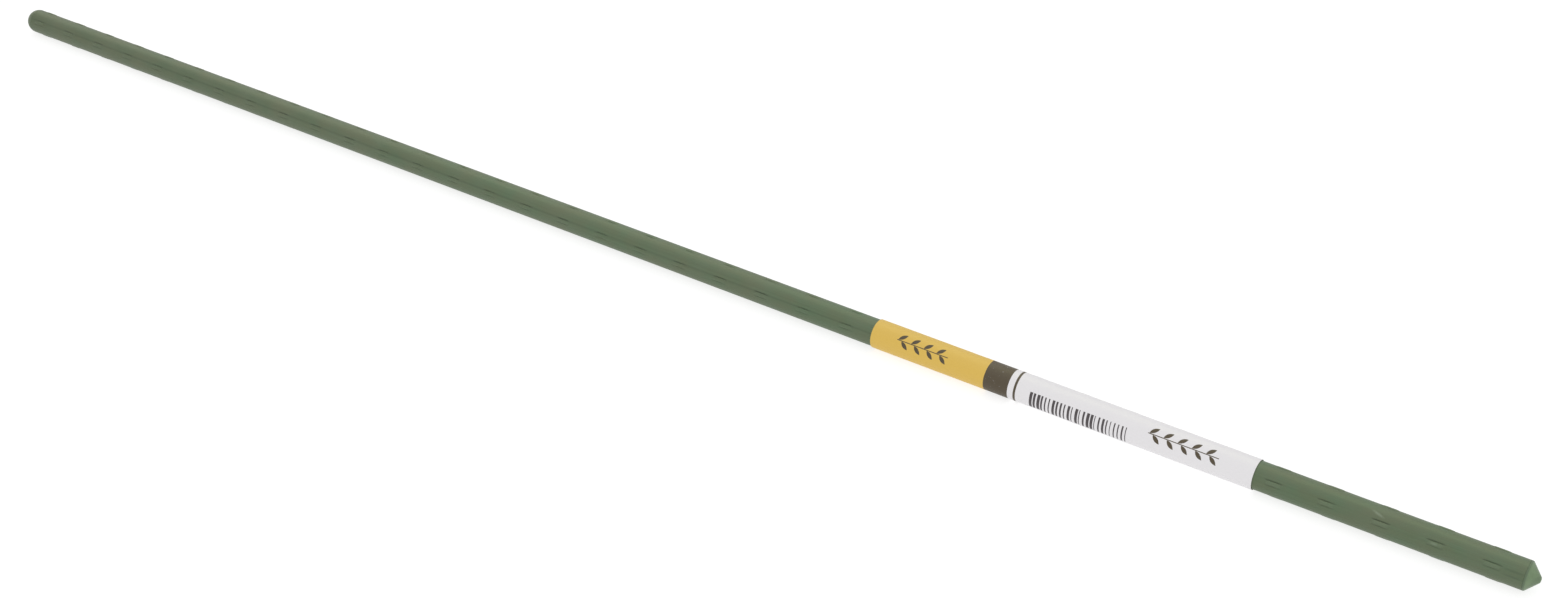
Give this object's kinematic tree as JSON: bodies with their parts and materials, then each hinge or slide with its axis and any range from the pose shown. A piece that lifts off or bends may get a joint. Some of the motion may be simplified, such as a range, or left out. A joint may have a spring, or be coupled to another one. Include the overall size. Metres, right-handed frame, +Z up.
{
  "type": "plant stake",
  "caption": "Straight plastic-coated steel tube stake with a domed cap, a blunt conical point, rows of raised grip nubs and a wrapped paper label, for holding up garden plants.",
  "frame": {"origin": "on the ground, under the middle of the stake as it lies on its side", "axes": "+X along the stake from the domed cap to the point, +Z up; in use the stake is set upright with its point in the soil"},
  "size_m": [0.6096, 0.0099, 0.0097],
  "materials": {
    "tube_steel": "bright drawn steel strip, hidden inside",
    "coating_plastic": "satin green polyethylene with fine lengthwise die lines",
    "plug_plastic": "satin moulded green polyethylene, a little lighter than the coating",
    "label_paper": "white coated label paper with a plain yellow, dark and white print"
  },
  "bodies": {
    "root": {"steel_tube": "tube_steel", "plastic_coating": "coating_plastic", "top_cap": "plug_plastic", "ground_tip": "plug_plastic", "label_wrap": "label_paper"}
  },
  "joints": []
}
